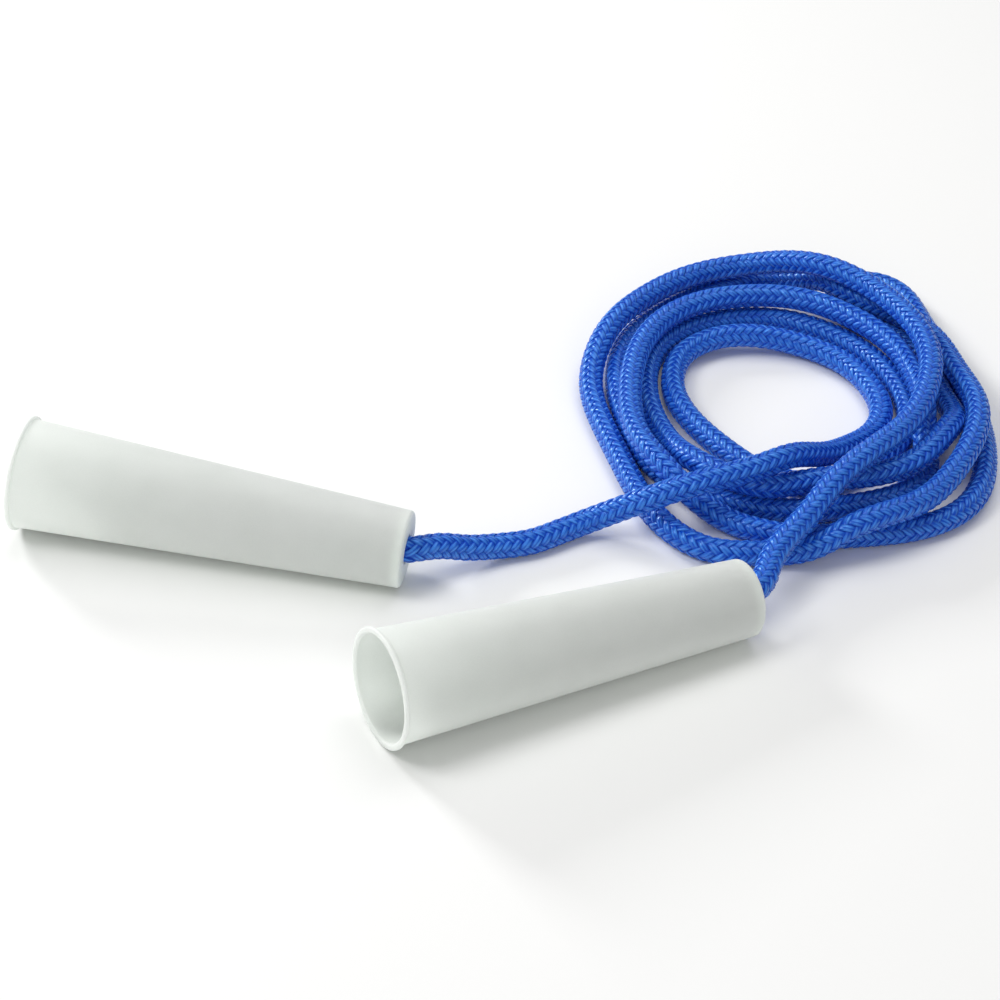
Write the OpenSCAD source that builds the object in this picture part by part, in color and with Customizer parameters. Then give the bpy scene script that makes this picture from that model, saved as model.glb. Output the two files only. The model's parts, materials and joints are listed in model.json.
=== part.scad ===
// Skipping rope: two hollow tapered handles on one braided rope, laid down in a loose coil.
// Millimetres, +Z up, z = 0 is the table. The origin is under the middle of the two handles.

/* [Handle] */
// Length of a handle from its open mouth to its small end
handle_length = 117; // [90:1:150]
// Diameter of the body where it meets the lip at the mouth
body_diameter = 32.8; // [28:0.2:40]
// Diameter of the small end, where the rope comes out
end_diameter = 23; // [20:0.5:27]
// Thickness of the side wall
wall = 1.1; // [0.9:0.1:2]
// Thickness of the end wall that the rope passes through
end_wall = 3; // [2:0.5:8]
// Radius of the rounded edge at the small end
end_round = 1; // [0.5:0.1:3]
// How far the lip stands out from the body
lip_height = 0.9; // [0.6:0.1:3]
// Thickness of the lip along the handle
lip_thickness = 1.3; // [1.3:0.1:5]
// Radius of the rounded edges of the lip
lip_round = 0.6; // [0.2:0.1:0.6]
// Radius of the hollow corner behind the lip
lip_fillet = 0.3; // [0.2:0.1:1.2]
// Bevel on the inner edge of the mouth
mouth_bevel = 0.6; // [0.2:0.1:0.8]

/* [Rope] */
// Diameter of the rope
rope_diameter = 8; // [6:0.5:9]
// Gap round the rope in the hole of the end wall
hole_clearance = 0.6; // [0.3:0.1:1]
// Length of the stop knot inside a handle
knot_length = 20; // [14:1:30]
// Gap between the stop knot and the side wall
knot_clearance = 0.6; // [0.3:0.1:1.5]
// Gap between the stop knot and the end wall
knot_seat_gap = 0.3; // [0.1:0.1:0.8]
// Length of rope left past the stop knot
tail_length = 12; // [5:1:15]
// Radius of the melted edge at the rope's cut end
tail_round = 1.2; // [0.4:0.1:2]
// Distance outside the end wall at which the rope bends when a handle is picked up
bend_offset = 3; // [2.5:0.5:4]
// Gap between the two stretches of rope at that bend
bend_gap = 0.3; // [0.1:0.1:0.6]

/* [Placement] */
// Left handle: middle of the small end's face, across
left_end_x = 7.2; // [-20:0.1:12]
// Left handle: middle of the small end's face, away from the viewer
left_end_y = 24.5; // [10:0.1:26]
// Left handle: direction in plan from mouth to small end, in degrees
left_heading = -9.4; // [-30:0.1:10]
// Right handle: middle of the small end's face, across
right_end_x = 105.7; // [95:0.1:110]
// Right handle: middle of the small end's face, away from the viewer
right_end_y = 11.1; // [0:0.1:14]
// Right handle: direction in plan from mouth to small end, in degrees
right_heading = 29.1; // [10:0.1:45]

/* [Hidden] */
$fn = 96;
rope_sides = 10;
arc_steps = 8;

rope_r = rope_diameter / 2;
hole_r = rope_r + hole_clearance;
end_r = end_diameter / 2;
body_r = body_diameter / 2;
lip_r = body_r + lip_height;

// Radius of the tapered body at z, which runs from 0 at the end face to -handle_length at the mouth
function outer_r(z) = end_r - (body_r - end_r) * z / handle_length;
function cavity_r(z) = outer_r(z) - wall;

// A handle lies on the rounded edges of its lip and its small end, so its axis tips down a little
lip_rest = [lip_r - lip_round, -handle_length + lip_thickness - lip_round];
end_rest = [outer_r(-end_round) - end_round, -end_round];
rest_pitch = atan2(lip_rest[0] - end_rest[0], end_rest[1] - lip_rest[1])
    + asin((lip_round - end_round) / norm(end_rest - lip_rest));
end_height = end_rest[1] * sin(rest_pitch) + end_rest[0] * cos(rest_pitch) + end_round;
left_end = [left_end_x, left_end_y, end_height];
right_end = [right_end_x, right_end_y, end_height];

function unit(v) = v / norm(v);
function handle_axis(heading) =
    [cos(heading) * cos(rest_pitch), sin(heading) * cos(rest_pitch), -sin(rest_pitch)];
left_bend = left_end + bend_offset * handle_axis(left_heading);
right_bend = right_end + bend_offset * handle_axis(right_heading);

// Places along a handle's axis, from the end face inwards
knot_start = -end_wall - knot_seat_gap;
knot_end = knot_start - knot_length;
tail_end = knot_end - tail_length;
knot_r = cavity_r(-end_wall) - knot_clearance;

// The rope's route over the table, in order from the left handle to the right one
left_route = [[16, 29, 10], [24, 33, 7], [34, 38, 4.5], [44, 42, 4], [54, 49, 4], [63, 53, 6]];
turn_1 = [[63, 53, 6], [74, 53, 12], [86, 54.5, 17], [99, 58, 20], [110, 63, 20.7], [121, 71.2, 20],
    [132, 83.6, 12.5], [142, 96.8, 7], [150.7, 109.5, 4.2], [154, 122, 4], [151.5, 135, 4],
    [144, 148, 4], [131, 156.5, 4.5], [116, 158.7, 6], [102, 156.2, 6], [91.5, 148.5, 4.5],
    [87.5, 137, 4], [88, 123, 4], [94, 108, 4], [104, 94, 4]];
turn_2 = [[117, 82, 4], [131, 80, 4], [144, 88, 4], [156.5, 101.5, 4], [162.5, 118, 4], [161, 135, 4],
    [154, 151, 4], [142, 164, 4], [126, 172, 4], [108, 171, 4], [92, 162, 4], [82, 149, 4],
    [78.5, 132, 4], [80, 114, 4], [85, 96.5, 5.5]];
turn_3 = [[91.5, 79.5, 11], [100, 71, 12.2], [113, 66, 12], [130, 70.6, 12], [146, 74.8, 12],
    [161, 83.5, 12.5], [172.5, 101, 13], [176.5, 117, 7.5], [174, 135, 4], [169.5, 153, 4],
    [161, 168, 4]];
bight = [[151, 175, 4], [145.3, 181, 4], [143.5, 188.5, 4], [147.5, 196.5, 4], [156.5, 199.5, 4],
    [165, 194.5, 4], [169.5, 184.5, 4], [173, 171, 4], [178.5, 155, 4]];
turn_4 = [[183, 134, 4], [185.5, 111, 4], [183, 86, 4], [174, 69, 4], [159, 59, 4], [140, 54, 4],
    [121, 52, 4], [106, 56, 4], [93.5, 62.5, 7.5], [82.5, 74, 12], [74.5, 91, 12.3],
    [72.5, 112, 12.3], [75, 134, 12.3], [82, 153, 12], [95, 167, 12], [113, 174, 12],
    [132, 173, 12], [149, 162, 12], [160, 147, 12]];
turn_5 = [[165, 130, 12], [166.2, 114, 12], [166.3, 101, 5], [166, 91, 4], [158.5, 78, 4],
    [143.5, 69.8, 4], [125, 65, 4], [107, 66.5, 4], [92, 73, 4], [79.5, 86.5, 4], [72.3, 108, 4],
    [69, 130, 4], [72, 152, 4], [83, 171, 4], [101, 188, 4], [119, 196, 4], [131, 193, 7.5],
    [139, 186.5, 11.8], [149, 177, 12.2], [162, 168, 12], [173.3, 153.3, 12]];
turn_6 = [[178.5, 135, 12.5], [182, 118, 14.2], [181.3, 101, 14], [172, 78.3, 12.3],
    [158.7, 60.5, 12.3], [141, 49, 12.3], [127, 44, 6], [112, 42.4, 4], [98, 42.6, 4],
    [86.4, 50.4, 4], [77, 66, 4], [70, 87, 4], [64, 107, 4], [60.5, 128, 5.5], [65, 148, 11],
    [76, 167, 12], [93, 184, 12], [114, 192.5, 13], [133, 184.5, 19.6], [148, 175, 20.2],
    [161, 158, 20.2], [168, 138, 20], [167, 117, 20], [159, 94, 20], [146, 76, 20.5],
    [134, 61, 19], [125, 47, 15.5]];
right_route = [[125, 47, 15.5], [117, 35, 13.5], [113, 26, 12], [111, 19, 11.5]];

coil_route = concat(turn_1, turn_2, turn_3, bight, turn_4, turn_5, turn_6);
coil_last = len(coil_route) - 1;

// Directions of the rope where a free stretch meets the coil, and where it meets a handle's bend
coil_start_dir = unit(coil_route[1] - left_route[len(left_route) - 2]);
coil_end_dir = unit(right_route[1] - coil_route[coil_last - 1]);
left_bend_dir = unit(left_route[0] - left_bend);
right_bend_dir = unit(right_bend - right_route[len(right_route) - 1]);
bend_reach = rope_r + bend_gap;

// Sub-parts in order from the left end of the rope to the right end

handle_colour = "#eceeea";
rope_colour = "#2559c4";

// Points of an arc in the r-z half plane
function arc(centre, radius, from, to) =
    [for (i = [0 : arc_steps]) let (a = from + (to - from) * i / arc_steps)
        centre + radius * [cos(a), sin(a)]];

// Half section of a handle, from the hole round the outside to the mouth and back along the hollow
function handle_section() = concat(
    [[hole_r, -end_wall], [hole_r, 0]],
    arc(end_rest, end_round, 90, 0),
    arc([outer_r(-handle_length + lip_thickness + lip_fillet) + lip_fillet,
        -handle_length + lip_thickness + lip_fillet], lip_fillet, 180, 270),
    arc(lip_rest, lip_round, 90, 0),
    arc([lip_rest[0], -handle_length + lip_round], lip_round, 0, -90),
    [[cavity_r(-handle_length) + mouth_bevel, -handle_length],
        [cavity_r(-handle_length), -handle_length + mouth_bevel],
        [cavity_r(-end_wall), -end_wall]]);

// Half section of a stop knot: a plump barrel with flat ends as wide as the rope
function knot_section() = concat(
    [[0, knot_start]],
    [for (i = [0 : 2 * arc_steps]) let (a = 90 - 180 * i / (2 * arc_steps))
        [rope_r + (knot_r - rope_r) * cos(a), (knot_start + knot_end + knot_length * sin(a)) / 2]],
    [[0, knot_end]]);

// Half section of the rope in a handle's hole, rounded at the outer end where it bends
function neck_section() = concat(
    [[0, knot_start], [rope_r, knot_start]],
    arc([0, bend_offset], rope_r, 0, 90));

// Half section of the short end past a stop knot, with its cut end melted round
function tail_section() = concat(
    [[0, knot_end], [0, tail_end]],
    arc([rope_r - tail_round, tail_end + tail_round], tail_round, 270, 360),
    [[rope_r, knot_end]]);

// Ring of points round the rope at a place on its route
function ring(centre, dir) =
    let (side = unit(cross(dir, [0, 0, 1])), over = cross(side, dir))
    [for (k = [0 : rope_sides - 1]) let (a = 360 * k / rope_sides - 90)
        centre + rope_r * (cos(a) * side + sin(a) * over)];

// Direction of a route at one of its inner points
function route_dir(route, i) = unit(unit(route[i + 1] - route[i]) + unit(route[i] - route[i - 1]));

// Tube along a route, with the direction of its two flat ends given
module tube(route, start_dir, end_dir) {
    last = len(route) - 1;
    points = [for (i = [0 : last])
        each ring(route[i], i == 0 ? start_dir : i == last ? end_dir : route_dir(route, i))];
    start_cap = [[for (k = [rope_sides - 1 : -1 : 0]) k]];
    end_cap = [[for (k = [0 : rope_sides - 1]) last * rope_sides + k]];
    sides = [for (i = [0 : last - 1], k = [0 : rope_sides - 1])
        let (a = i * rope_sides, n = (k + 1) % rope_sides)
        [a + k, a + n, a + rope_sides + n, a + rope_sides + k]];
    polyhedron(points, concat(start_cap, end_cap, sides), convexity = 6);
}

// Puts a shape drawn along z on a handle's axis, with z = 0 at the end face
module on_handle(end_face, heading) {
    translate(end_face) rotate([0, 90 + rest_pitch, heading]) children();
}

module turn_about_axis(section) {
    rotate_extrude() polygon(section);
}

module handle(end_face, heading) {
    color(handle_colour) on_handle(end_face, heading) turn_about_axis(handle_section());
}

module knot(end_face, heading) {
    color(rope_colour) on_handle(end_face, heading) turn_about_axis(knot_section());
}

module neck(end_face, heading) {
    color(rope_colour) on_handle(end_face, heading) turn_about_axis(neck_section());
}

module tail(end_face, heading) {
    color(rope_colour) on_handle(end_face, heading) turn_about_axis(tail_section());
}

module left_handle() handle(left_end, left_heading);
module right_handle() handle(right_end, right_heading);
module left_knot() knot(left_end, left_heading);
module right_knot() knot(right_end, right_heading);
module left_neck() neck(left_end, left_heading);
module right_neck() neck(right_end, right_heading);
module left_tail() tail(left_end, left_heading);
module right_tail() tail(right_end, right_heading);

module left_run() {
    color(rope_colour)
        tube(concat([left_bend + bend_reach * left_bend_dir], left_route), left_bend_dir, coil_start_dir);
}

module right_run() {
    color(rope_colour)
        tube(concat(right_route, [right_bend - bend_reach * right_bend_dir]), coil_end_dir, right_bend_dir);
}

module rope_coil() {
    color(rope_colour) tube(coil_route, coil_start_dir, coil_end_dir);
}

left_handle();
left_tail();
left_knot();
left_neck();
left_run();
rope_coil();
right_run();
right_neck();
right_knot();
right_tail();
right_handle();
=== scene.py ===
import json
import math

import bpy
import numpy as np
from bpy.props import FloatProperty, FloatVectorProperty, IntProperty, PointerProperty
from mathutils import Matrix, Vector


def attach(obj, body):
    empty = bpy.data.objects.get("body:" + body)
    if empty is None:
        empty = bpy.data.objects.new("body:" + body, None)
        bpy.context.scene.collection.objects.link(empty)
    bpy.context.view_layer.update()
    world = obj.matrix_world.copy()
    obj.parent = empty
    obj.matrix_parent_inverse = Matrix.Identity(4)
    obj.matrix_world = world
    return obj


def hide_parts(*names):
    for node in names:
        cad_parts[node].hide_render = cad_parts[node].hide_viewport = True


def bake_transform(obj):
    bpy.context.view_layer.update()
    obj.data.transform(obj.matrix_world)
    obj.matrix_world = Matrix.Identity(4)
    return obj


bl_info = {
    "name": "Skipping rope",
    "version": (1, 0, 0),
    "blender": (4, 5, 0),
    "location": "3D View > Sidebar > Skipping rope",
    "description": "Braided rope with knotted ends, and the finish of its two moulded handles",
    "category": "Object",
}

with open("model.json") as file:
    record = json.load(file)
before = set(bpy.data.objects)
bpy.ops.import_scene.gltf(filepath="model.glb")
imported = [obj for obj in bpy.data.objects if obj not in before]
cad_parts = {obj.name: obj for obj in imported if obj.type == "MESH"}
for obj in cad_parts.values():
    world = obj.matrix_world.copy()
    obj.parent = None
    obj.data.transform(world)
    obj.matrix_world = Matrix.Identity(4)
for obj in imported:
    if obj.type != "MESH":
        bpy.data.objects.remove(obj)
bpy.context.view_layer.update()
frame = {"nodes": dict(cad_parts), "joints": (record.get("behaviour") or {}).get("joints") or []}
JOINTS = {joint["name"]: joint for joint in frame["joints"]}
SIDES = ("left", "right")

# All lengths are in metres. The rope's route over the table is in order from the left handle to the
# right one
LEFT_ROUTE = (
    (.016, .029, .010), (.024, .033, .007), (.034, .038, .0045), (.044, .042, .004),
    (.054, .049, .004),
)
TURN_1 = (
    (.063, .053, .006), (.074, .053, .012), (.086, .0545, .017), (.099, .058, .020),
    (.110, .063, .0207), (.121, .0712, .020), (.132, .0836, .0125), (.142, .0968, .007),
    (.1507, .1095, .0042), (.154, .122, .004), (.1515, .135, .004), (.144, .148, .004),
    (.131, .1565, .0045), (.116, .1587, .006), (.102, .1562, .006), (.0915, .1485, .0045),
    (.0875, .137, .004), (.088, .123, .004), (.094, .108, .004), (.104, .094, .004),
)
TURN_2 = (
    (.117, .082, .004), (.131, .080, .004), (.144, .088, .004), (.1565, .1015, .004),
    (.1625, .118, .004), (.161, .135, .004), (.154, .151, .004), (.142, .164, .004),
    (.126, .172, .004), (.108, .171, .004), (.092, .162, .004), (.082, .149, .004),
    (.0785, .132, .004), (.080, .114, .004), (.085, .0965, .0055),
)
TURN_3 = (
    (.0915, .0795, .011), (.100, .071, .0122), (.113, .066, .012), (.130, .0706, .012),
    (.146, .0748, .012), (.161, .0835, .0125), (.1725, .101, .013), (.1765, .117, .0075),
    (.174, .135, .004), (.1695, .153, .004), (.161, .168, .004),
)
BIGHT = (
    (.151, .175, .004), (.1453, .181, .004), (.1435, .1885, .004), (.1475, .1965, .004),
    (.1565, .1995, .004), (.165, .1945, .004), (.1695, .1845, .004), (.173, .171, .004),
    (.1785, .155, .004),
)
TURN_4 = (
    (.183, .134, .004), (.1855, .111, .004), (.183, .086, .004), (.174, .069, .004),
    (.159, .059, .004), (.140, .054, .004), (.121, .052, .004), (.106, .056, .004),
    (.0935, .0625, .0075), (.0825, .074, .012), (.0745, .091, .0123), (.0725, .112, .0123),
    (.075, .134, .0123), (.082, .153, .012), (.095, .167, .012), (.113, .174, .012),
    (.132, .173, .012), (.149, .162, .012), (.160, .147, .012),
)
TURN_5 = (
    (.165, .130, .012), (.1662, .114, .012), (.1663, .101, .005), (.166, .091, .004),
    (.1585, .078, .004), (.1435, .0698, .004), (.125, .065, .004), (.107, .0665, .004),
    (.092, .073, .004), (.0795, .0865, .004), (.0723, .108, .004), (.069, .130, .004),
    (.072, .152, .004), (.083, .171, .004), (.101, .188, .004), (.119, .196, .004),
    (.131, .193, .0075), (.139, .1865, .0118), (.149, .177, .0122), (.162, .168, .012),
    (.1733, .1533, .012),
)
TURN_6 = (
    (.1785, .135, .0125), (.182, .118, .0142), (.1813, .101, .014), (.172, .0783, .0123),
    (.1587, .0605, .0123), (.141, .049, .0123), (.127, .044, .006), (.112, .0424, .004),
    (.098, .0426, .004), (.0864, .0504, .004), (.077, .066, .004), (.070, .087, .004),
    (.064, .107, .004), (.0605, .128, .0055), (.065, .148, .011), (.076, .167, .012),
    (.093, .184, .012), (.114, .1925, .013), (.133, .1845, .0196), (.148, .175, .0202),
    (.161, .158, .0202), (.168, .138, .020), (.167, .117, .020), (.159, .094, .020),
    (.146, .076, .0205), (.134, .061, .019),
)
RIGHT_ROUTE = (
    (.125, .047, .0155), (.117, .035, .0135), (.113, .026, .012), (.111, .019, .0115),
)
ROUTE = (
    LEFT_ROUTE + TURN_1 + TURN_2 + TURN_3 + BIGHT + TURN_4 + TURN_5 + TURN_6 + RIGHT_ROUTE)

# Samples of the smooth curve from one point of the route to the next
CURVE_STEPS = 24
# Distance between points along the rope, for its yarns and for its core
YARN_STEP, CORE_STEP = 0.00075, 0.0016
# How far outside a handle the laid-down rope meets the short end piece that holds the knot, and
# a point nearer the handle on that piece
END_REACH, BEND_REACH = 0.022, 0.017

# Places inside a handle, along its axis from the middle of its end face: tail, stop knot, hole
TAIL_PLACES = (-0.0343, -0.031, -0.028, -0.025)
KNOT_START, KNOT_LENGTH = -0.0225, 0.0184
HOLE_PLACES = (-0.0022, 0.0)
# The stop knot's turns, the radius of its winding, the part of a turn in which the rope leaves or
# meets the axis, and the steps that the winding is made in
KNOT_TURNS, KNOT_RADIUS, KNOT_ENTRY, KNOT_STEPS = 2.8, 0.006, 0.35, 34

# Section of a melted tip: distance from the axis as a share of the rope's radius, and place
TIP_SECTION = (
    (0.90, -0.0324), (1.0, -0.0325), (1.05, -0.0329), (1.07, -0.0334), (1.05, -0.0340),
    (0.98, -0.0346), (0.84, -0.0350), (0.60, -0.0352), (0.30, -0.0353),
)
TIP_SIDES = 48

# Ways in which a yarn winds round the rope
RIGHT_LAY, LEFT_LAY = 1.0, -1.0
# Corners of a yarn's section and of the core's
YARN_SIDES, CORE_SIDES = 6, 12
# How far the core reaches up between the yarns where they dip
CORE_OVERLAP = 0.00002
# Step along the streak pattern from one yarn to the next, and steps from its origin to each lay
YARN_SHIFT, LAY_SHIFT = 0.37, 20.0
# Half of a yarn, which is one of its two ends, and the part of that which lies flat
END_WIDTH, END_FLAT = 0.00104, 0.0005
POLYPROPYLENE_IOR = 1.49

# Point on the floor that the camera looks at, its sensor in millimetres, and the floor's half width
CAMERA_TARGET = (0.03345, 0.0671, 0)
SENSOR_WIDTH = 36
FLOOR_REACH = 3
# Each light's name, its place, the point that it faces, its width and its power in watts
LIGHTS = (
    ("key_softbox", (-0.75, -0.2, 1.05), (0.04, 0.04, 0), 0.5, 5.8),
    ("overhead_softbox", (0.15, 0.45, 1.3), (0.05, 0.07, 0), 1.0, 5.8),
    ("rim_softbox", (-0.9, 0.95, 0.6), (0.08, 0.1, 0), 0.35, 9.0),
    ("front_fill", (0.2, -1.1, 0.6), (0.05, 0.03, 0), 0.8, 2.4),
)
ROOM_LIGHT = 0.32


def srgb(code):
    """Linear red, green and blue of an sRGB hex colour."""
    values = [int(code[i:i + 2], 16) / 255 for i in (1, 3, 5)]
    return tuple(v / 12.92 if v <= 0.04045 else ((v + 0.055) / 1.055) ** 2.4 for v in values)


class RopeProperties(bpy.types.PropertyGroup):
    """Sizes and colours of the braided rope"""
    diameter: FloatProperty(
        name="Diameter", description="Outside diameter of the braided rope",
        default=0.008, min=0.006, max=0.009, precision=4, unit="LENGTH")
    length: FloatProperty(
        name="Length", description="Length of the rope from one handle's end face to the other's",
        default=2.22, min=1.0, max=3.0, unit="LENGTH")
    yarns: IntProperty(
        name="Yarns each way", description="Number of yarns that wind each way round the rope",
        default=8, min=4, max=12)
    lead: FloatProperty(
        name="Lead", description="Length of rope in which a yarn goes once round it",
        default=0.025, min=0.01, max=0.06, precision=4, unit="LENGTH")
    yarn_width: FloatProperty(
        name="Yarn width", description="Width of one flattened yarn",
        default=0.0024, min=0.001, max=0.004, precision=5, unit="LENGTH")
    yarn_thickness: FloatProperty(
        name="Yarn thickness", description="Thickness of one flattened yarn",
        default=0.00088, min=0.0003, max=0.0015, precision=5, unit="LENGTH")
    crimp: FloatProperty(
        name="Crimp",
        description="How far a yarn rises and dips as it passes over and under the others",
        default=0.00034, min=0.0, max=0.0006, precision=5, unit="LENGTH")
    knot_girth: FloatProperty(
        name="Girth in the knot",
        description="Share of its girth that the rope keeps where the stop knot grips it",
        default=0.82, min=0.7, max=1.0, subtype="FACTOR")
    # The first and last of these three colours are painted light: painted shade where the yarn dips
    # under the others, painted highlight where it passes over them
    shaded_dip_colour: FloatVectorProperty(
        name="Hollow colour", description="Colour of the yarn where it dips under the others",
        default=srgb("#0034c8"), size=3, min=0.0, max=1.0, subtype="COLOR")
    yarn_colour: FloatVectorProperty(
        name="Yarn colour", description="Colour of the yarn on the rope's sides",
        default=srgb("#0047c0"), size=3, min=0.0, max=1.0, subtype="COLOR")
    crown_highlight_colour: FloatVectorProperty(
        name="Crown colour", description="Colour of the yarn where it passes over the others",
        default=srgb("#4a95f6"), size=3, min=0.0, max=1.0, subtype="COLOR")


class HandleProperties(bpy.types.PropertyGroup):
    """Finish of the two handles"""
    colour: FloatVectorProperty(
        name="Colour", description="Colour of the moulded handles",
        default=srgb("#e4ebe4"), size=3, min=0.0, max=1.0, subtype="COLOR")
    roughness: FloatProperty(
        name="Roughness", description="Roughness of the moulded skin",
        default=0.56, min=0.1, max=1.0, subtype="FACTOR")


class StageProperties(bpy.types.PropertyGroup):
    """Camera, floor and light"""
    camera_height: FloatProperty(
        name="Camera angle", description="Angle of the camera above the floor",
        default=math.radians(36.4), min=0.0, max=math.radians(90), subtype="ANGLE")
    camera_roll: FloatProperty(
        name="Camera roll", description="Turn of the camera about its own line of sight",
        default=math.radians(3.3), min=math.radians(-20), max=math.radians(20), subtype="ANGLE")
    camera_distance: FloatProperty(
        name="Camera distance",
        description="Distance of the camera from the point that it looks at",
        default=0.865, min=0.3, max=5.0, unit="LENGTH")
    camera_lens: FloatProperty(
        name="Lens", description="Focal length on a sensor 36 mm wide",
        default=101.556, min=20.0, max=300.0, unit="CAMERA")
    floor_colour: FloatVectorProperty(
        name="Floor colour", description="Colour of the plain floor",
        default=srgb("#fafaf9"), size=3, min=0.0, max=1.0, subtype="COLOR")


def add_node(tree, kind, inputs=(), **settings):
    """Adds a node with its settings, and sets each of its inputs or links it to another node's
    output."""
    node = tree.nodes.new(kind)
    for name, value in settings.items():
        setattr(node, name, value)
    for name, value in dict(inputs).items():
        if isinstance(value, bpy.types.NodeSocket):
            tree.links.new(value, node.inputs[name])
        else:
            node.inputs[name].default_value = value
    return node


def new_material(name):
    """An empty material and its node tree."""
    material = bpy.data.materials.new(name)
    material.use_nodes = True
    material.node_tree.nodes.clear()
    return material, material.node_tree


def yarn_material(rope):
    """Polypropylene multifilament yarn, drawn and braided: smooth fine filaments laid side by side
    give a silky streaked gloss along each yarn. Its colour has painted highlight where it crowns
    and painted shade where it dips under its neighbours."""
    material, tree = new_material("polypropylene_multifilament_yarn")
    uv = add_node(tree, "ShaderNodeUVMap", uv_map="UVMap").outputs["UV"]
    # Filaments are about 0.04 mm thick; they are drawn as bundles 0.28 mm wide and 5 mm long, so
    # that they show. Dye and lustre drift a little along every 40 mm of yarn
    streaks, drift = [add_node(tree, "ShaderNodeTexNoise", {
        "Vector": add_node(tree, "ShaderNodeMapping", {
            "Vector": uv, "Scale": (1 / length, 1 / width, 1)}).outputs["Vector"],
        "Scale": 1.0, "Detail": detail, "Roughness": roughness}).outputs["Fac"]
        for length, width, detail, roughness in (
            (0.005, 0.00028, 2.0, 0.6), (0.04, 0.004, 1.0, 0.5))]
    # A yarn's two edges turn down between its neighbours, about 1 mm from its middle
    breadth = add_node(tree, "ShaderNodeSeparateXYZ", {0: uv}).outputs["Y"]
    across = add_node(tree, "ShaderNodeMath", {0: breadth}, operation="ABSOLUTE").outputs[0]
    edge = add_node(tree, "ShaderNodeMapRange", {
        "Value": across, "From Min": END_FLAT, "From Max": END_WIDTH},
        interpolation_type="SMOOTHSTEP").outputs["Result"]
    # Each yarn is two ends laid side by side, about 1 mm wide each, with a groove between them
    bulge = add_node(tree, "ShaderNodeMath", {
        0: across, 1: math.pi / END_WIDTH}, operation="MULTIPLY").outputs[0]
    ends = add_node(tree, "ShaderNodeMath", {0: bulge}, operation="SINE").outputs[0]
    # The colour brightens as the yarn lifts, as painted shade where it dips and painted highlight
    # where it crowns. It swings about that by its streaks and drift, and by its two ends: painted
    # shade in the groove between them and at the yarn's edges, painted highlight along each end's
    # middle
    lift = add_node(tree, "ShaderNodeAttribute", attribute_name="lift",
                    attribute_type="GEOMETRY").outputs["Fac"]
    height = add_node(tree, "ShaderNodeMapRange", {
        "Value": lift, "From Min": -1.0, "From Max": 1.0,
        "To Min": 0.1, "To Max": 0.7}).outputs["Result"]
    for pattern, middle, weight in ((streaks, 0.5, 0.9), (drift, 0.5, 0.35), (ends, 0.6, 0.28)):
        swing = add_node(tree, "ShaderNodeMath", {
            0: pattern, 1: middle}, operation="SUBTRACT").outputs[0]
        height = add_node(tree, "ShaderNodeMath", {
            0: swing, 1: weight, 2: height}, operation="MULTIPLY_ADD").outputs[0]
    # The ramp runs from painted shade in the dips, through the yarn's own colour, to painted
    # highlight on the crowns
    ramp = add_node(tree, "ShaderNodeValToRGB", {"Fac": height})
    stops = ramp.color_ramp.elements
    for place, colour in (
            (0.0, rope.shaded_dip_colour), (0.5, rope.yarn_colour), (0.95, rope.crown_highlight_colour)):
        stop = stops[0] if place == 0.0 else stops.new(place)
        stop.color = (*colour, 1)
        stop.position = place
    stops.remove(stops[-1])
    gloss = add_node(tree, "ShaderNodeMapRange", {
        "Value": streaks, "From Min": 0.3, "From Max": 0.7,
        "To Min": 0.32, "To Max": 0.2}).outputs["Result"]
    # The edges are rougher, so that they don't glare where they are seen along their surface
    gloss = add_node(tree, "ShaderNodeMath", {
        0: edge, 1: 0.5, 2: gloss}, operation="MULTIPLY_ADD").outputs[0]
    groove = add_node(tree, "ShaderNodeBump", {
        "Height": ends, "Strength": 0.16, "Distance": 0.0003}).outputs["Normal"]
    bump = add_node(tree, "ShaderNodeBump", {
        "Height": streaks, "Strength": 0.3, "Distance": 0.0002, "Normal": groove}).outputs["Normal"]
    # The filaments lie along the yarn, so its gloss spreads across them
    filaments = add_node(tree, "ShaderNodeTangent", direction_type="UV_MAP", uv_map="UVMap")
    shader = add_node(tree, "ShaderNodeBsdfPrincipled", {
        "Base Color": ramp.outputs["Color"], "Roughness": gloss, "Normal": bump,
        "Tangent": filaments.outputs["Tangent"], "Anisotropic": 0.5, "Anisotropic Rotation": 0.25,
        "IOR": POLYPROPYLENE_IOR, "Specular IOR Level": 1.0,
        "Specular Tint": (*srgb("#a0d8ff"), 1)})
    add_node(tree, "ShaderNodeOutputMaterial", {"Surface": shader.outputs["BSDF"]})
    return material


def core_material(rope):
    """Bundle of loose polypropylene filaments inside the braid, seen only between the yarns: dull,
    and coloured dark as painted shade in the gaps between them."""
    material, tree = new_material("polypropylene_filament_core")
    place = add_node(tree, "ShaderNodeTexCoord").outputs["Object"]
    # Filament bundles about 0.5 mm across
    grain = add_node(tree, "ShaderNodeTexNoise", {
        "Vector": place, "Scale": 1 / 0.0005, "Detail": 2.0}).outputs["Fac"]
    ramp = add_node(tree, "ShaderNodeValToRGB", {"Fac": grain})
    ramp.color_ramp.elements[0].color = (*srgb("#06184f"), 1)
    ramp.color_ramp.elements[1].color = (*rope.shaded_dip_colour, 1)
    bump = add_node(tree, "ShaderNodeBump", {
        "Height": grain, "Strength": 0.4, "Distance": 0.0002})
    shader = add_node(tree, "ShaderNodeBsdfPrincipled", {
        "Base Color": ramp.outputs["Color"], "Roughness": 0.7, "Normal": bump.outputs["Normal"],
        "IOR": POLYPROPYLENE_IOR})
    add_node(tree, "ShaderNodeOutputMaterial", {"Surface": shader.outputs["BSDF"]})
    return material


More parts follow.
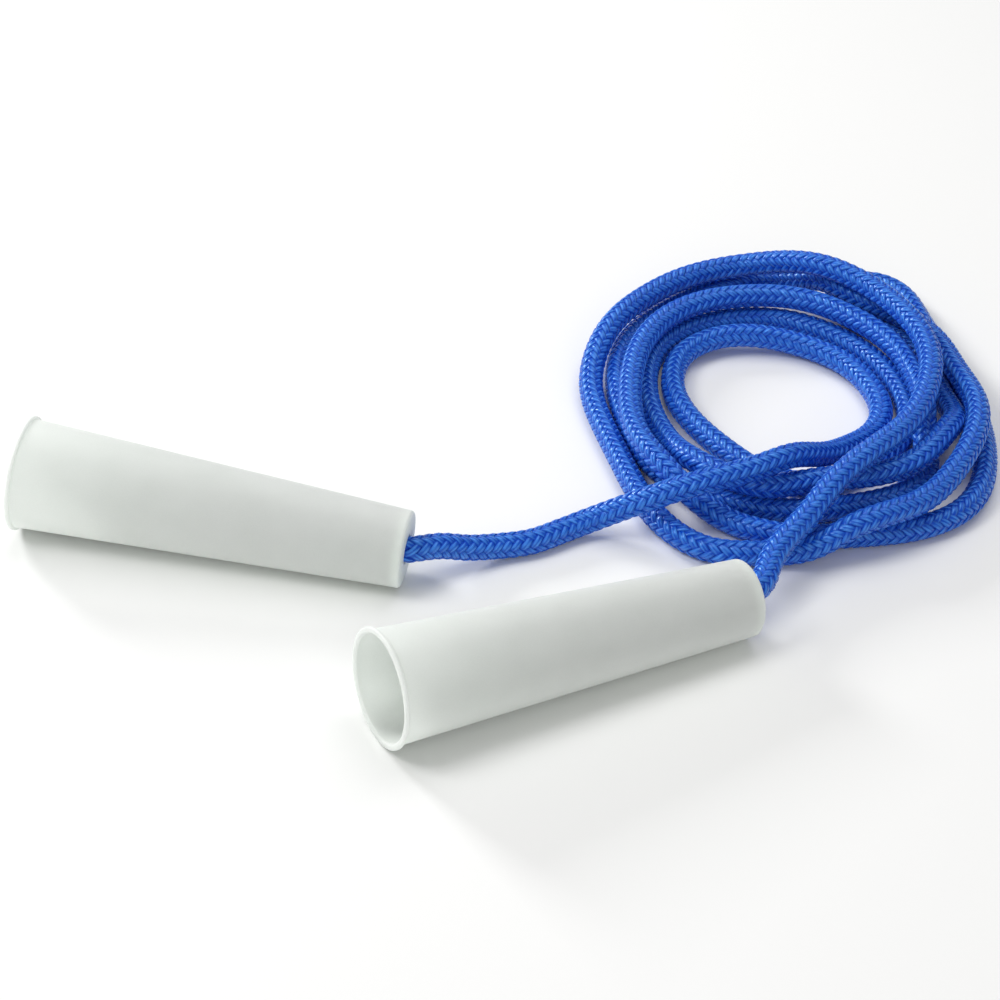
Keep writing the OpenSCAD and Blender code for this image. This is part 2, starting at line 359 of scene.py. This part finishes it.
def melted_material(rope):
    """Polypropylene melted over the rope's cut end: filaments run together into a dark, glossy,
    lumpy skin."""
    material, tree = new_material("melted_polypropylene")
    place = add_node(tree, "ShaderNodeTexCoord").outputs["Object"]
    # Lumps about 1.5 mm across, with a finer wrinkle of 0.4 mm
    lumps = add_node(tree, "ShaderNodeTexNoise", {
        "Vector": place, "Scale": 1 / 0.0015, "Detail": 3.0}).outputs["Fac"]
    ramp = add_node(tree, "ShaderNodeValToRGB", {"Fac": lumps})
    ramp.color_ramp.elements[0].color = (*srgb("#071c58"), 1)
    ramp.color_ramp.elements[1].color = (*rope.shaded_dip_colour, 1)
    gloss = add_node(tree, "ShaderNodeMapRange", {
        "Value": lumps, "From Min": 0.3, "From Max": 0.7, "To Min": 0.18, "To Max": 0.35})
    bump = add_node(tree, "ShaderNodeBump", {
        "Height": lumps, "Strength": 0.5, "Distance": 0.0004})
    shader = add_node(tree, "ShaderNodeBsdfPrincipled", {
        "Base Color": ramp.outputs["Color"], "Roughness": gloss.outputs["Result"],
        "Normal": bump.outputs["Normal"], "IOR": POLYPROPYLENE_IOR})
    add_node(tree, "ShaderNodeOutputMaterial", {"Surface": shader.outputs["BSDF"]})
    return material


def handle_material(handles):
    """Polypropylene, injection moulded in a lightly spark-eroded mould: an off-white satin skin
    with a fine even grain, faint flow clouds along its length, and a slight glow of light under
    the surface."""
    material, tree = new_material("moulded_polypropylene")
    place = add_node(tree, "ShaderNodeTexCoord").outputs["Object"]
    # Spark-eroded grain is about 0.1 mm; it is drawn at 0.35 mm, so that it shows.
    # Flow clouds are about 18 mm across
    grain, clouds = [add_node(tree, "ShaderNodeTexNoise", {
        "Vector": place, "Scale": 1 / size, "Detail": 2.0}).outputs["Fac"]
        for size in (0.00035, 0.018)]
    cloudy = add_node(tree, "ShaderNodeMath", {
        0: clouds, 1: 0.7}, operation="MULTIPLY").outputs[0]
    tone = add_node(tree, "ShaderNodeMath", {
        0: grain, 1: 0.3, 2: cloudy}, operation="MULTIPLY_ADD").outputs[0]
    ramp = add_node(tree, "ShaderNodeValToRGB", {"Fac": tone})
    dull = [channel * 0.93 for channel in handles.colour]
    for stop, place_on_ramp, colour in zip(
            ramp.color_ramp.elements, (0.3, 0.65), (dull, handles.colour)):
        stop.position = place_on_ramp
        stop.color = (*colour, 1)
    gloss = add_node(tree, "ShaderNodeMapRange", {
        "Value": tone, "From Min": 0.3, "From Max": 0.7,
        "To Min": handles.roughness + 0.05, "To Max": handles.roughness - 0.04})
    bump = add_node(tree, "ShaderNodeBump", {
        "Height": grain, "Strength": 0.12, "Distance": 0.00008})
    shader = add_node(tree, "ShaderNodeBsdfPrincipled", {
        "Base Color": ramp.outputs["Color"], "Roughness": gloss.outputs["Result"],
        "Normal": bump.outputs["Normal"], "IOR": POLYPROPYLENE_IOR, "Subsurface Weight": 1.0,
        "Subsurface Radius": (1.0, 1.0, 1.0), "Subsurface Scale": 0.004})
    add_node(tree, "ShaderNodeOutputMaterial", {"Surface": shader.outputs["BSDF"]})
    return material


def floor_material(stage):
    """Matt painted board: pale and plain, with a faint grain that keeps it from glaring."""
    material, tree = new_material("matt_painted_board")
    place = add_node(tree, "ShaderNodeTexCoord").outputs["Object"]
    # Roller grain about 1.5 mm across
    grain = add_node(tree, "ShaderNodeTexNoise", {
        "Vector": place, "Scale": 1 / 0.0015, "Detail": 2.0}).outputs["Fac"]
    bump = add_node(tree, "ShaderNodeBump", {
        "Height": grain, "Strength": 0.03, "Distance": 0.0002})
    shader = add_node(tree, "ShaderNodeBsdfPrincipled", {
        "Base Color": (*stage.floor_colour, 1), "Roughness": 0.8,
        "Normal": bump.outputs["Normal"], "Specular IOR Level": 0.2})
    add_node(tree, "ShaderNodeOutputMaterial", {"Surface": shader.outputs["BSDF"]})
    return material


def handle_end(side):
    """Middle of a handle's end face, the direction in which the rope leaves it, and two directions
    across that one."""
    joint = JOINTS[side + "_handle_spin"]
    axis = np.array(joint["axis"])
    across = np.cross(axis, (0, 0, 1))
    across /= np.linalg.norm(across)
    return np.array(joint["pos_m"]), axis, across, np.cross(across, axis)


def knot_route(side, girth):
    """The rope inside a handle, from its melted end through the stop knot and out of the end face.
    Each point has its place and the share of its girth that the rope keeps there."""
    face, axis, across, upward = handle_end(side)
    rows = [(place, 0.0, 0.0, 1.0) for place in TAIL_PLACES]
    # The knot: out from the axis, round it a little more than twice, and back to the axis
    for i in range(KNOT_STEPS + 1):
        turn = KNOT_TURNS * i / KNOT_STEPS
        reach = min(1.0, turn / KNOT_ENTRY, (KNOT_TURNS - turn) / KNOT_ENTRY)
        rows.append((KNOT_START + KNOT_LENGTH * i / KNOT_STEPS, turn * 2 * math.pi,
                     KNOT_RADIUS * reach, girth))
    rows += [(place, 0.0, 0.0, 1.0) for place in HOLE_PLACES]
    return [(*(face + place * axis
               + radius * (math.cos(angle) * across + math.sin(angle) * upward)), keep)
            for place, angle, radius, keep in rows]


def smooth_curve(points):
    """Natural cubic spline through the points, as dense samples."""
    points = np.array(points)
    strides = np.linalg.norm(np.diff(points[:, :3], axis=0), axis=1)
    times = np.append(0, np.cumsum(np.sqrt(strides)))
    gaps = np.diff(times)[:, None]
    slopes = np.diff(points, axis=0) / gaps
    count = len(points)
    matrix = np.eye(count)
    bends = np.zeros_like(points)
    for i in range(1, count - 1):
        before, after = gaps[i - 1, 0], gaps[i, 0]
        matrix[i, i - 1:i + 2] = before, 2 * (before + after), after
        bends[i] = 6 * (slopes[i] - slopes[i - 1])
    bends = np.linalg.solve(matrix, bends)
    samples = []
    for i in range(count - 1):
        t = np.linspace(0, gaps[i, 0], CURVE_STEPS, endpoint=False)[:, None]
        samples.append(points[i] + (slopes[i] - gaps[i] * (2 * bends[i] + bends[i + 1]) / 6) * t
                       + bends[i] / 2 * t ** 2
                       + (bends[i + 1] - bends[i]) / (6 * gaps[i]) * t ** 3)
    return np.vstack([*samples, points[-1:]])


class RopeLine:
    """The rope's centre line from one melted end to the other, at equal steps, with two directions
    across it at each point."""

    def __init__(self, rope, step):
        left = knot_route("left", rope.knot_girth)
        right = knot_route("right", rope.knot_girth)[::-1]
        dense = smooth_curve(left + [(*point, 1.0) for point in ROUTE] + right)
        dense[:, 2] = np.maximum(dense[:, 2], rope.diameter / 2)
        strides = np.linalg.norm(np.diff(dense[:, :3], axis=0), axis=1)
        gone = np.append(0, np.cumsum(strides))
        self.left_exit = gone[(len(left) - 1) * CURVE_STEPS]
        self.right_exit = gone[-1 - (len(right) - 1) * CURVE_STEPS]
        self.along = np.linspace(0, gone[-1], int(round(gone[-1] / step)) + 1)
        places = np.stack([np.interp(self.along, gone, dense[:, k]) for k in range(4)], axis=1)
        self.points, self.girth = places[:, :3], np.clip(places[:, 3], rope.knot_girth, 1)
        heading = np.gradient(self.points, axis=0)
        heading /= np.linalg.norm(heading, axis=1)[:, None]
        # One direction across is carried along the line without turning about it
        self.side = np.empty_like(heading)
        side = np.cross(heading[0], (0, 0, 1))
        for i, ahead in enumerate(heading):
            side = side - ahead * (side @ ahead)
            side /= np.linalg.norm(side)
            self.side[i] = side
        self.over = np.cross(self.side, heading)

    def nearest(self, distance):
        """Number of the point nearest to a distance from the line's start."""
        return int(np.abs(self.along - distance).argmin())

    def place(self, distance):
        """Point on the centre line at a distance from its start."""
        return self.points[self.nearest(distance)]

    def mesh(self, start, end):
        """The stretch as a mesh of edges, with what the braid needs at each point."""
        keep = slice(self.nearest(start), self.nearest(end) + 1)
        points = self.points[keep]
        line = bpy.data.meshes.new("rope_line")
        line.from_pydata(points.tolist(), [(i, i + 1) for i in range(len(points) - 1)], [])
        for name, kind, field, values in (
                ("along", "FLOAT", "value", self.along), ("girth", "FLOAT", "value", self.girth),
                ("side", "FLOAT_VECTOR", "vector", self.side),
                ("over", "FLOAT_VECTOR", "vector", self.over)):
            layer = line.attributes.new(name, kind, "POINT")
            layer.data.foreach_set(field, np.ascontiguousarray(values[keep], np.float32).ravel())
        return line


def new_tree(name, sockets):
    """An empty Geometry Nodes tree with named inputs, each a name and a kind of socket."""
    tree = bpy.data.node_groups.new(name, "GeometryNodeTree")
    for label, kind in sockets:
        tree.interface.new_socket(label, in_out="INPUT", socket_type="NodeSocket" + kind)
    tree.interface.new_socket("Piece", in_out="OUTPUT", socket_type="NodeSocketGeometry")
    return tree


def swept(tree, line, normal, girth, section):
    """Carries a section along a line, turned by a direction across it and scaled by its girth."""
    line = add_node(tree, "GeometryNodeSetCurveNormal", {
        "Curve": line, "Normal": normal}, mode="FREE").outputs["Curve"]
    line = add_node(tree, "GeometryNodeSetCurveRadius", {
        "Curve": line, "Radius": girth}).outputs["Curve"]
    return add_node(tree, "GeometryNodeCurveToMesh", {
        "Curve": line, "Profile Curve": section, "Fill Caps": True}).outputs["Mesh"]


def hand_out(tree, piece, material):
    """Ends a tree with its piece as a real mesh of one material."""
    piece = add_node(tree, "GeometryNodeRealizeInstances", {"Geometry": piece}).outputs["Geometry"]
    piece = add_node(tree, "GeometryNodeSetMaterial", {
        "Geometry": piece, "Material": material}).outputs["Geometry"]
    add_node(tree, "NodeGroupOutput", {"Piece": piece})
    return tree


def braid_tree():
    """Lays flattened yarns round the rope's centre line, two over and two under."""
    tree = new_tree("braided_cover", (
        ("Centre line", "Geometry"), ("Yarns in this piece", "Int"), ("First yarn", "Int"),
        ("Yarns each way", "Int"), ("Lay", "Float"), ("Lead", "Float"), ("Radius", "Float"),
        ("Crimp", "Float"), ("Half width", "Float"), ("Half thickness", "Float"),
        ("Material", "Material")))
    given = add_node(tree, "NodeGroupInput").outputs
    line = add_node(tree, "GeometryNodeMeshToCurve", {
        "Mesh": given["Centre line"]}).outputs["Curve"]
    copies = add_node(tree, "GeometryNodeDuplicateElements", {
        "Geometry": line, "Amount": given["Yarns in this piece"]}, domain="SPLINE").outputs
    fields = {name: add_node(tree, "GeometryNodeInputNamedAttribute", {
        "Name": name}, data_type=kind).outputs[0] for name, kind in (
            ("along", "FLOAT"), ("girth", "FLOAT"), ("side", "FLOAT_VECTOR"),
            ("over", "FLOAT_VECTOR"), ("radial", "FLOAT_VECTOR"), ("yarn_along", "FLOAT"),
            ("across", "FLOAT"))}
    # Each row is a result, the sum that makes it, and what goes into that. In one turn a yarn
    # crosses the other lay's yarns twice each, and a wave for every four crossings takes it over
    # two and under two. Its streaks come from its own stretch of the pattern
    sums = {**dict(given.items()), "copy": copies["Duplicate Index"], "along": fields["along"],
            "girth": fields["girth"]}
    for result, operation, *parts in (
            ("number", "ADD", "copy", "First yarn"),
            ("laps", "DIVIDE", "along", "Lead"),
            ("wound", "MULTIPLY", "laps", "Lay"),
            ("start", "DIVIDE", "number", "Yarns each way"),
            ("turns", "ADD", "wound", "start"),
            ("angle", "MULTIPLY", "turns", 2 * math.pi),
            ("waves", "MULTIPLY", "Yarns each way", 0.5),
            ("swing", "MULTIPLY", "angle", "waves"),
            ("phase", "SUBTRACT", "swing", math.pi / 4),
            ("wave", "COSINE", "phase"),
            ("lift", "MULTIPLY", "wave", "Lay"),
            ("cosine", "COSINE", "angle"),
            ("sine", "SINE", "angle"),
            ("height", "MULTIPLY_ADD", "lift", "Crimp", "Radius"),
            ("reach", "MULTIPLY", "height", "girth"),
            ("row", "MULTIPLY_ADD", "Lay", LAY_SHIFT, "number"),
            ("shift", "MULTIPLY", "row", YARN_SHIFT),
            ("yarn_along", "ADD", "along", "shift")):
        inputs = {i: sums.get(part, part) for i, part in enumerate(parts)}
        sums[result] = add_node(tree, "ShaderNodeMath", inputs, operation=operation).outputs[0]
    sideways, upwards = [add_node(tree, "ShaderNodeVectorMath", {
        0: fields[name], "Scale": sums[share]}, operation="SCALE").outputs[0]
        for name, share in (("side", "cosine"), ("over", "sine"))]
    sums["radial"] = add_node(tree, "ShaderNodeVectorMath", {
        0: sideways, 1: upwards}, operation="ADD").outputs[0]
    yarns = copies["Geometry"]
    for name, kind in (("lift", "FLOAT"), ("yarn_along", "FLOAT"), ("radial", "FLOAT_VECTOR")):
        yarns = add_node(tree, "GeometryNodeStoreNamedAttribute", {
            "Geometry": yarns, "Name": name, "Value": sums[name]},
            data_type=kind, domain="POINT").outputs["Geometry"]
    offset = add_node(tree, "ShaderNodeVectorMath", {
        0: sums["radial"], "Scale": sums["reach"]}, operation="SCALE").outputs[0]
    yarns = add_node(tree, "GeometryNodeSetPosition", {
        "Geometry": yarns, "Offset": offset}).outputs["Geometry"]
    # A yarn's section keeps how far across the yarn each of its corners lies, from -1 to 1
    section = add_node(tree, "GeometryNodeCurvePrimitiveCircle", {
        "Resolution": YARN_SIDES, "Radius": 1.0}, mode="RADIUS").outputs["Curve"]
    corner = add_node(tree, "GeometryNodeInputPosition").outputs[0]
    section = add_node(tree, "GeometryNodeStoreNamedAttribute", {
        "Geometry": section, "Name": "across",
        "Value": add_node(tree, "ShaderNodeSeparateXYZ", {0: corner}).outputs["Y"]},
        data_type="FLOAT", domain="POINT").outputs["Geometry"]
    flatness = add_node(tree, "ShaderNodeCombineXYZ", {
        "X": given["Half thickness"], "Y": given["Half width"], "Z": 1.0}).outputs[0]
    section = add_node(tree, "GeometryNodeTransform", {
        "Geometry": section, "Scale": flatness}).outputs["Geometry"]
    cover = swept(tree, yarns, fields["radial"], fields["girth"], section)
    # The UV map is in metres: along the yarn, and across it from its middle
    breadth = add_node(tree, "ShaderNodeMath", {
        0: fields["across"], 1: given["Half width"]}, operation="MULTIPLY").outputs[0]
    uv = add_node(tree, "ShaderNodeCombineXYZ", {
        "X": fields["yarn_along"], "Y": breadth}).outputs[0]
    cover = add_node(tree, "GeometryNodeStoreNamedAttribute", {
        "Geometry": cover, "Name": "UVMap", "Value": uv},
        data_type="FLOAT2", domain="CORNER").outputs["Geometry"]
    return hand_out(tree, cover, given["Material"])


def core_tree():
    """A round core along the rope's centre line."""
    tree = new_tree("rope_core", (
        ("Centre line", "Geometry"), ("Sides", "Int"), ("Radius", "Float"),
        ("Material", "Material")))
    given = add_node(tree, "NodeGroupInput").outputs
    line = add_node(tree, "GeometryNodeMeshToCurve", {
        "Mesh": given["Centre line"]}).outputs["Curve"]
    over, girth = [add_node(tree, "GeometryNodeInputNamedAttribute", {
        "Name": name}, data_type=kind).outputs[0]
        for name, kind in (("over", "FLOAT_VECTOR"), ("girth", "FLOAT"))]
    section = add_node(tree, "GeometryNodeCurvePrimitiveCircle", {
        "Resolution": given["Sides"], "Radius": given["Radius"]}, mode="RADIUS").outputs["Curve"]
    return hand_out(tree, swept(tree, line, over, girth, section), given["Material"])


def grown(name, line, tree, values):
    """Runs a tree on a line and returns the result as a plain mesh piece."""
    source = bpy.data.objects.new("line", line)
    bpy.context.scene.collection.objects.link(source)
    modifier = source.modifiers.new(tree.name, "NODES")
    modifier.node_group = tree
    for item in tree.interface.items_tree:
        if item.in_out == "INPUT" and item.name in values:
            modifier[item.identifier] = values[item.name]
    shown = bpy.context.evaluated_depsgraph_get()
    mesh = bpy.data.meshes.new_from_object(
        source.evaluated_get(shown), preserve_all_data_layers=True, depsgraph=shown)
    source.modifiers.remove(modifier)
    bpy.data.objects.remove(source)
    bpy.data.meshes.remove(line)
    for spare in ("along", "girth", "side", "over", "radial", "yarn_along", "across"):
        if spare in mesh.attributes:
            mesh.attributes.remove(mesh.attributes[spare])
    return linked_piece(name, mesh)


def linked_piece(name, mesh):
    """A new piece of the object at the origin. Stops if the mesh is empty or inside out."""
    mesh.name = name
    mesh.calc_loop_triangles()
    corners = np.zeros(len(mesh.loop_triangles) * 3, np.int32)
    mesh.loop_triangles.foreach_get("vertices", corners)
    points = np.zeros(len(mesh.vertices) * 3, np.float32)
    mesh.vertices.foreach_get("co", points)
    a, b, c = points.reshape(-1, 3).astype(float)[corners.reshape(-1, 3)].transpose(1, 0, 2)
    if np.einsum("ij,ij->", a, np.cross(b, c)) <= 0:
        raise RuntimeError(f"{name}: the mesh is empty or inside out")
    piece = bpy.data.objects.new(name, mesh)
    bpy.context.scene.collection.objects.link(piece)
    return piece


def rope_stretch(rope, start, end, core, covers):
    """Core and yarns of a stretch of the rope. Each cover is a piece's name, the lay of its yarns,
    the first of them and their number."""
    yarn_line, core_line = RopeLine(rope, YARN_STEP), RopeLine(rope, CORE_STEP)
    half = rope.yarn_thickness / 2
    radius = rope.diameter / 2 - rope.crimp - half
    made = [grown(core, core_line.mesh(start, end), bpy.data.node_groups["rope_core"], {
        "Sides": CORE_SIDES, "Radius": radius - rope.crimp + CORE_OVERLAP,
        "Material": bpy.data.materials["polypropylene_filament_core"]})]
    for name, lay, first, count in covers:
        made.append(grown(name, yarn_line.mesh(start, end), bpy.data.node_groups["braided_cover"], {
            "Yarns in this piece": count, "First yarn": first, "Yarns each way": rope.yarns,
            "Lay": lay, "Lead": rope.lead, "Radius": radius, "Crimp": rope.crimp,
            "Half width": rope.yarn_width / 2, "Half thickness": half,
            "Material": bpy.data.materials["polypropylene_multifilament_yarn"]}))
    return made


class SKIPPING_ROPE_OT_stage(bpy.types.Operator):
    """Sets the camera, the pale floor and the soft studio light"""
    bl_idname = "skipping_rope.stage"
    bl_label = "Set the stage"

    def execute(self, context):
        stage, scene = context.scene.skipping_rope_stage, context.scene
        tilt, roll = stage.camera_height, stage.camera_roll
        back = Vector((0, -math.cos(tilt), math.sin(tilt)))
        level, rising = Vector((1, 0, 0)), Vector((0, math.sin(tilt), math.cos(tilt)))
        right = math.cos(roll) * level + math.sin(roll) * rising
        up = math.cos(roll) * rising - math.sin(roll) * level
        lens = bpy.data.cameras.new("camera")
        lens.lens, lens.sensor_width = stage.camera_lens, SENSOR_WIDTH
        lens.clip_start, lens.clip_end = 0.02, 20
        camera = bpy.data.objects.new("camera", lens)
        place = Vector(CAMERA_TARGET) + back * stage.camera_distance
        turn = Matrix((right, up, back)).transposed().to_4x4()
        camera.matrix_world = Matrix.Translation(place) @ turn
        scene.collection.objects.link(camera)
        scene.camera = camera

        board = bpy.data.meshes.new("floor")
        board.from_pydata([(x * FLOOR_REACH, y * FLOOR_REACH, 0) for x, y in (
            (-1, -1), (1, -1), (1, 1), (-1, 1))], [], [(0, 1, 2, 3)])
        board.materials.append(floor_material(stage))
        floor = bpy.data.objects.new("floor", board)
        scene.collection.objects.link(floor)

        for name, place, aim, size, power in LIGHTS:
            lamp = bpy.data.lights.new(name, "AREA")
            lamp.shape, lamp.size, lamp.energy = "SQUARE", size, power
            light = bpy.data.objects.new(name, lamp)
            light.location = place
            ahead = Vector(aim) - Vector(place)
            light.rotation_euler = ahead.to_track_quat("-Z", "Y").to_euler()
            scene.collection.objects.link(light)
        world = bpy.data.worlds.new("studio")
        world.use_nodes = True
        world.node_tree.nodes.clear()
        room = add_node(world.node_tree, "ShaderNodeBackground", {
            "Color": (1, 1, 1, 1), "Strength": ROOM_LIGHT})
        add_node(world.node_tree, "ShaderNodeOutputWorld", {"Surface": room.outputs["Background"]})
        scene.world = world
        scene.view_settings.view_transform = "Standard"
        return {"FINISHED"}


class SKIPPING_ROPE_OT_rope_ends(bpy.types.Operator):
    """Braids the rope's two ends: the stretch just outside each handle, the stop knot and the tail
    """
    bl_idname = "skipping_rope.rope_ends"
    bl_label = "Braid the knotted ends"

    def execute(self, context):
        rope = context.scene.skipping_rope_rope
        yarn_material(rope)
        core_material(rope)
        braid_tree()
        core_tree()
        line = RopeLine(rope, YARN_STEP)
        for side, tip, exit_place, out in (
                ("left", 0, line.left_exit, 1), ("right", line.along[-1], line.right_exit, -1)):
            start, end = sorted((tip, exit_place + out * END_REACH))
            made = rope_stretch(rope, start, end, side + "_end_core", (
                (side + "_end_right_lay", RIGHT_LAY, 0, rope.yarns),
                (side + "_end_left_lay", LEFT_LAY, 0, rope.yarns)))
            for piece in made:
                line.place(exit_place + out * BEND_REACH)
                line.place(exit_place)
                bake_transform(piece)
            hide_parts(side + "_neck", side + "_knot", side + "_tail")
        return {"FINISHED"}


class SKIPPING_ROPE_OT_melted_tips(bpy.types.Operator):
    """Covers the rope's two cut ends with melted caps"""
    bl_idname = "skipping_rope.melted_tips"
    bl_label = "Melt the cut ends"

    def execute(self, context):
        rope = context.scene.skipping_rope_rope
        skin = melted_material(rope)
        for side in SIDES:
            face, axis, across, upward = handle_end(side)
            points = []
            for share, place in TIP_SECTION:
                for k in range(TIP_SIDES):
                    a = 2 * math.pi * k / TIP_SIDES
                    # Three and five shallow lumps round the cap, and a dip of 0.12 mm on its face
                    lump = 1 + 0.025 * math.sin(3 * a + 1.1) + 0.02 * math.sin(5 * a + place * 2000)
                    sag = 0.00012 * math.sin(4 * a + 0.7) * (1 - share)
                    reach = rope.diameter / 2 * share * lump
                    points.append(face + (place + sag) * axis + reach * (
                        math.cos(a) * across + math.sin(a) * upward))
            inner, outer = len(points), len(points) + 1
            points += [face + TIP_SECTION[row][1] * axis for row in (0, -1)]
            last = (len(TIP_SECTION) - 1) * TIP_SIDES
            following = [(k, (k + 1) % TIP_SIDES) for k in range(TIP_SIDES)]
            faces = [(ring + k, ring + n, ring + TIP_SIDES + n, ring + TIP_SIDES + k)
                     for ring in range(0, last, TIP_SIDES) for k, n in following]
            faces += [(inner, n, k) for k, n in following]
            faces += [(outer, last + k, last + n) for k, n in following]
            mesh = bpy.data.meshes.new(side + "_melted_tip")
            mesh.from_pydata([tuple(point) for point in points], [], faces)
            mesh.shade_smooth()
            mesh.materials.append(skin)
            tip = linked_piece(side + "_melted_tip", mesh)
            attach(tip, side + "_rope_end")
        return {"FINISHED"}


class SKIPPING_ROPE_OT_rope(bpy.types.Operator):
    """Braids the long rope between the handles and lays it in its loose coil"""
    bl_idname = "skipping_rope.rope"
    bl_label = "Braid the rope"

    def execute(self, context):
        rope = context.scene.skipping_rope_rope
        line = RopeLine(rope, YARN_STEP)
        start, end = line.left_exit + END_REACH, line.right_exit - END_REACH
        # Each lay is in two pieces, so that a piece stays light
        half = rope.yarns // 2
        core, *covers = rope_stretch(rope, start, end, "rope_core", (
            ("rope_right_lay_a", RIGHT_LAY, 0, half),
            ("rope_right_lay_b", RIGHT_LAY, half, rope.yarns - half),
            ("rope_left_lay_a", LEFT_LAY, 0, half),
            ("rope_left_lay_b", LEFT_LAY, half, rope.yarns - half)))
        for piece in (core, *covers):
            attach(piece, "rope")
        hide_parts("left_run", "rope_coil", "right_run")
        first, last = line.nearest(start), line.nearest(end)
        handle_end("left")[0]
        return {"FINISHED"}


class SKIPPING_ROPE_OT_handles(bpy.types.Operator):
    """Gives the two handles their moulded finish"""
    bl_idname = "skipping_rope.handles"
    bl_label = "Finish the handles"

    def execute(self, context):
        finish = handle_material(context.scene.skipping_rope_handles)
        for side in SIDES:
            handle = frame["nodes"][side + "_handle"]
            if not handle.material_slots:
                raise RuntimeError(f"{handle.name} has no material slot")
            for slot in handle.material_slots:
                slot.material = finish
        return {"FINISHED"}


OPERATORS = (SKIPPING_ROPE_OT_stage, SKIPPING_ROPE_OT_rope_ends, SKIPPING_ROPE_OT_melted_tips,
             SKIPPING_ROPE_OT_rope, SKIPPING_ROPE_OT_handles)
GROUPS = {"skipping_rope_rope": RopeProperties, "skipping_rope_handles": HandleProperties,
          "skipping_rope_stage": StageProperties}


class VIEW3D_PT_skipping_rope(bpy.types.Panel):
    """Lists the steps that make the skipping rope, and its sizes and colours"""
    bl_label = "Skipping rope"
    bl_space_type = "VIEW_3D"
    bl_region_type = "UI"
    bl_category = "Skipping rope"

    def draw(self, context):
        for operator in OPERATORS:
            self.layout.operator(operator.bl_idname)
        for group_name in GROUPS:
            group = getattr(context.scene, group_name)
            box = self.layout.box()
            for name in group.bl_rna.properties.keys():
                if name not in ("rna_type", "name"):
                    box.prop(group, name)


CLASSES = (*GROUPS.values(), *OPERATORS, VIEW3D_PT_skipping_rope)


def register():
    for item in CLASSES:
        bpy.utils.register_class(item)
    for name, group in GROUPS.items():
        setattr(bpy.types.Scene, name, PointerProperty(type=group))


def unregister():
    for name in GROUPS:
        delattr(bpy.types.Scene, name)
    for item in reversed(CLASSES):
        bpy.utils.unregister_class(item)


def main():
    register()
    bpy.ops.skipping_rope.stage()
    bpy.ops.skipping_rope.rope_ends()
    bpy.ops.skipping_rope.melted_tips()
    bpy.ops.skipping_rope.rope()
    bpy.ops.skipping_rope.handles()
    bpy.context.view_layer.update()


if __name__ == "__main__":
    main()
